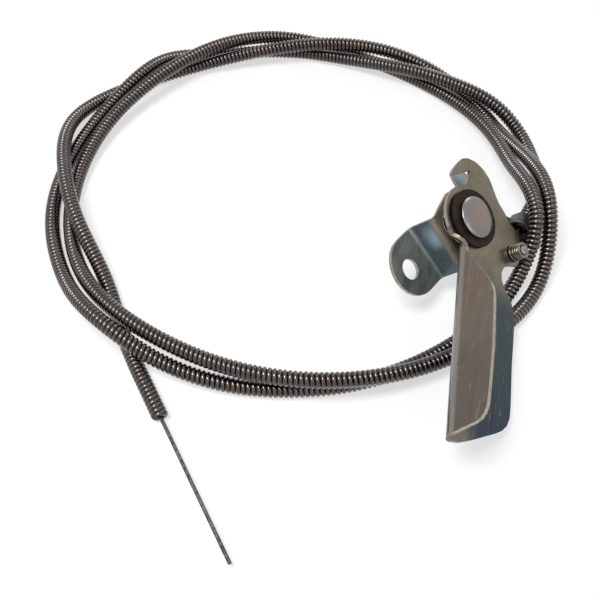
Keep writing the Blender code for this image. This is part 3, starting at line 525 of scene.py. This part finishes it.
def wound_tube(name, track):
    """Closed tube of one wire wound close along a track, with a bore at both ends."""
    side, up = travelling_frames(track)
    length = lengths_along(track)
    turns = int(length[-1] / WINDING_PITCH) - 1
    pitch = length[-1] / (turns + 1)
    steps = turns * TURN_SIDES
    points = len(PROFILE)

    def place(at, angle, radius):
        """Positions at lengths along the track, angles round it and radii."""
        at, angle, radius = np.broadcast_arrays(at, angle, radius)
        middle, first, second = (
            np.stack([np.interp(at, length, part[:, axis]) for axis in range(3)], axis=-1)
            for part in (track, side, up))
        turn = angle[..., None]
        return middle + radius[..., None] * (first * np.cos(turn) + second * np.sin(turn))

    # One turn's profile, swept along the screw. Its last edge is the next turn's first
    across = np.array(PROFILE + (0.5,))
    half = np.abs(across) * 2.0
    drop = GROOVE_DEPTH * (1.0 - np.sqrt(1.0 - half**2 * ROUNDNESS)) / FULL_DROP
    radius = CONDUIT_D / 2.0 - drop
    step = np.arange(steps + 1)
    angle = step * math.tau / TURN_SIDES
    start = step * pitch / TURN_SIDES
    grid = place(start[:, None] + (across[None, :points] + 0.5) * pitch, angle[:, None],
                 radius[None, :points])
    last = step[-TURN_SIDES:]
    edge = place(last * pitch / TURN_SIDES + pitch, last * math.tau / TURN_SIDES, radius[-1])
    verts = [grid.reshape(-1, 3), edge]
    crest = np.concatenate([np.tile(1.0 - half[:points], steps + 1), np.zeros(TURN_SIDES)])
    edge_start = (steps + 1) * points

    def vert(k, q):
        """Vertex at a step and a place across the wire. The last place is the next turn's."""
        if q < points:
            return k * points + q
        if k + TURN_SIDES <= steps:
            return (k + TURN_SIDES) * points
        return edge_start + k - (steps - TURN_SIDES + 1)

    faces = [(vert(k, q), vert(k + 1, q), vert(k + 1, q + 1), vert(k, q + 1))
             for k in range(steps) for q in range(points)]

    # Both ends: a rim to the bore, the bore's wall and bottom, and the wire's cut end
    count = edge_start + TURN_SIDES
    ring = np.arange(TURN_SIDES + 1)
    round_once = ring * math.tau / TURN_SIDES
    for first, sign in ((0, 1), (steps - TURN_SIDES, -1)):
        rim_along = (first + ring) * pitch / TURN_SIDES + (0.0 if sign > 0 else pitch)
        rim = place(rim_along, round_once, BORE_D / 2.0)
        depth = BORE_DEPTH if sign > 0 else length[-1] - BORE_DEPTH
        deep = place(depth, round_once[:-1], BORE_D / 2.0)
        verts += [rim, deep]
        inner = count + ring
        bottom = count + TURN_SIDES + 1 + np.append(ring[:-1], 0)
        count += 2 * TURN_SIDES + 1
        outer = [vert(first + k, 0 if sign > 0 else points) for k in range(TURN_SIDES + 1)]
        for k in range(TURN_SIDES):
            loops = [[outer[k], inner[k], inner[k + 1], outer[k + 1]],
                     [inner[k], bottom[k], bottom[k + 1], inner[k + 1]]]
            if sign > 0 and k == 0:
                loops[1].insert(1, inner[TURN_SIDES])
            if sign < 0 and k == TURN_SIDES - 1:
                loops[1].insert(3, inner[0])
            faces += [tuple(loop[::sign]) for loop in loops]
        faces.append(tuple(bottom[:-1][::sign]))
        cut = first if sign > 0 else steps
        wire_end = [vert(cut, q) for q in range(points + 1)]
        faces.append(tuple((wire_end + [inner[TURN_SIDES], inner[0]])[::-sign]))
        crest = np.concatenate([crest, np.zeros(2 * TURN_SIDES + 1)])
    faces = [tuple(map(int, face)) for face in faces]
    return linked(name, tube_mesh(name, np.vstack(verts).tolist(), faces, crest))


def add_camera():
    """The photograph's camera, placed from the lever's pivot."""
    data = bpy.data.cameras.new("camera")
    data.lens = FOCAL_PIXELS / FRAME_PIXELS * SENSOR_WIDTH
    data.sensor_width = SENSOR_WIDTH
    data.clip_start = CLIP_START
    data.clip_end = CLIP_END
    camera = linked("camera", data)
    camera.location = pivot + Vector(CAMERA_FROM_PIVOT)
    camera.rotation_euler = (math.radians(90.0 - CAMERA_ELEVATION), 0.0, 0.0)
    bpy.context.scene.camera = camera


def shown_rays(tree):
    """1 for camera, glossy and transmission rays, 0 for the rays that light things."""
    path = tree.nodes.new("ShaderNodeLightPath")
    total = path.outputs["Is Camera Ray"]
    for name in ("Is Glossy Ray", "Is Transmission Ray"):
        larger = node_of(tree, "ShaderNodeMath", {"operation": "MAXIMUM"})
        tree.links.new(total, larger.inputs[0])
        tree.links.new(path.outputs[name], larger.inputs[1])
        total = larger.outputs[0]
    return total


def add_stage():
    """White floor and surroundings that keep the object's shadow, and three soft lamps."""
    floor_mesh = bpy.data.meshes.new("floor")
    corners = [(-1.0, -1.0), (1.0, -1.0), (1.0, 1.0), (-1.0, 1.0)]
    floor_mesh.from_pydata([(x * FLOOR_HALF, y * FLOOR_HALF, 0.0) for x, y in corners], [],
                           [(0, 1, 2, 3)])
    floor = linked("floor", floor_mesh)
    floor.location.z = -FLOOR_DROP
    paper = bpy.data.materials.new("paper")
    paper.use_nodes = True
    tree = paper.node_tree
    tree.nodes.remove(tree.nodes["Principled BSDF"])
    diffuse = node_of(tree, "ShaderNodeBsdfDiffuse", Color=PAPER)
    glow = node_of(tree, "ShaderNodeEmission", Color=WHITE, Strength=1.0)
    share = node_of(tree, "ShaderNodeMath", {"operation": "MULTIPLY"})
    share.inputs[1].default_value = FLOOR_GLOW
    tree.links.new(shown_rays(tree), share.inputs[0])
    mix = tree.nodes.new("ShaderNodeMixShader")
    tree.links.new(share.outputs[0], mix.inputs[0])
    tree.links.new(diffuse.outputs[0], mix.inputs[1])
    tree.links.new(glow.outputs[0], mix.inputs[2])
    tree.links.new(mix.outputs[0], tree.nodes["Material Output"].inputs["Surface"])
    floor_mesh.materials.append(paper)

    world = bpy.data.worlds.new("surroundings")
    world.use_nodes = True
    tree = world.node_tree
    background = tree.nodes["Background"]
    background.inputs["Color"].default_value = WHITE
    level = node_of(tree, "ShaderNodeMapRange", From_Min=0.0, From_Max=1.0,
                    To_Min=WORLD_LIGHT, To_Max=1.0)
    tree.links.new(shown_rays(tree), level.inputs["Value"])
    tree.links.new(level.outputs["Result"], background.inputs["Strength"])
    bpy.context.scene.world = world

    for name, place, width, power in LAMPS:
        data = bpy.data.lights.new(name, "AREA")
        data.size = width
        data.energy = power
        lamp = linked(name, data)
        lamp.location = place
        lamp.rotation_euler = Vector(place).to_track_quat("Z", "Y").to_euler()
    bpy.context.scene.view_settings.view_transform = "Standard"


add_camera()
add_stage()

# Cable
track = conduit_track()
conduit = wound_tube("wound_conduit", track)
conduit.data.materials.append(wound_wire("conduit_wire"))
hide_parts("conduit")
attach(conduit, "root")
wire_finish = drawn_wire("inner_wire")
free_wire = dressed("inner_wire_free_end", "free_wire", "wire_free_end",
                    [wire_finish], FINE_EDGE)
dressed("inner_wire_lever_end", "lever_wire", "wire_lever_end", [wire_finish],
        FINE_EDGE)

# Control
edge_metal = worn("cut_edge", (0.41, 0.365, 0.32), 0.3, 0.75)
bracket_finish = plated("plated_bracket", (0.155, 0.130, 0.100), (0.240, 0.210, 0.170),
                        bracket_zones, 0.55, 0.30, 0.46, (1.0, 0.15, 1.0))
lever_finish = plated("plated_lever", (0.160, 0.140, 0.100), (0.250, 0.220, 0.165),
                      lever_zones, 1.0, 0.24, 0.40, (1.0, 0.12, 1.0))
bright = worn("bright_zinc", (0.25, 0.25, 0.205), 0.2)
strap_finish = worn("strap_steel", (0.17, 0.17, 0.16), 0.34)
rivet_finish = rivet_head("rivet_crown")
screw_finish = worn("screw_steel", (0.34, 0.32, 0.29), 0.26)
spring_finish = worn("spring_band", (0.17, 0.15, 0.14), 0.36)
dressed("mount_bracket", "bracket", "root", [bracket_finish, edge_metal],
        SHEET_EDGE)
dressed("control_lever", "lever", "lever", [lever_finish, edge_metal], SHEET_EDGE)
for node, body, slot, finish in (
        ("pivot_rivet", "root", "rivet_steel", rivet_finish),
        ("friction_washer", "root", "dark_washer", dark_fibre("washer_fibre")),
        ("spacer_washer", "root", "rivet_steel", screw_finish),
        ("wave_spring_washer", "root", "spring_steel", spring_finish),
        ("rivet_back_washer", "root", "rivet_steel", screw_finish),
        ("anchor_swivel", "swivel", "rivet_steel", screw_finish),
        ("anchor_washer", "swivel", "bright_steel", bright),
        ("anchor_lock_washer", "swivel", "bright_steel", bright),
        ("anchor_nut", "swivel", "bright_steel", bright),
        ("clamp_saddle", "root", "bright_steel", strap_finish),
        ("clamp_lock_washer", "root", "bright_steel", bright),
        ("clamp_screw", "root", "rivet_steel", screw_finish)):
    dressed(node, node + "_piece", body, [finish], FINE_EDGE)
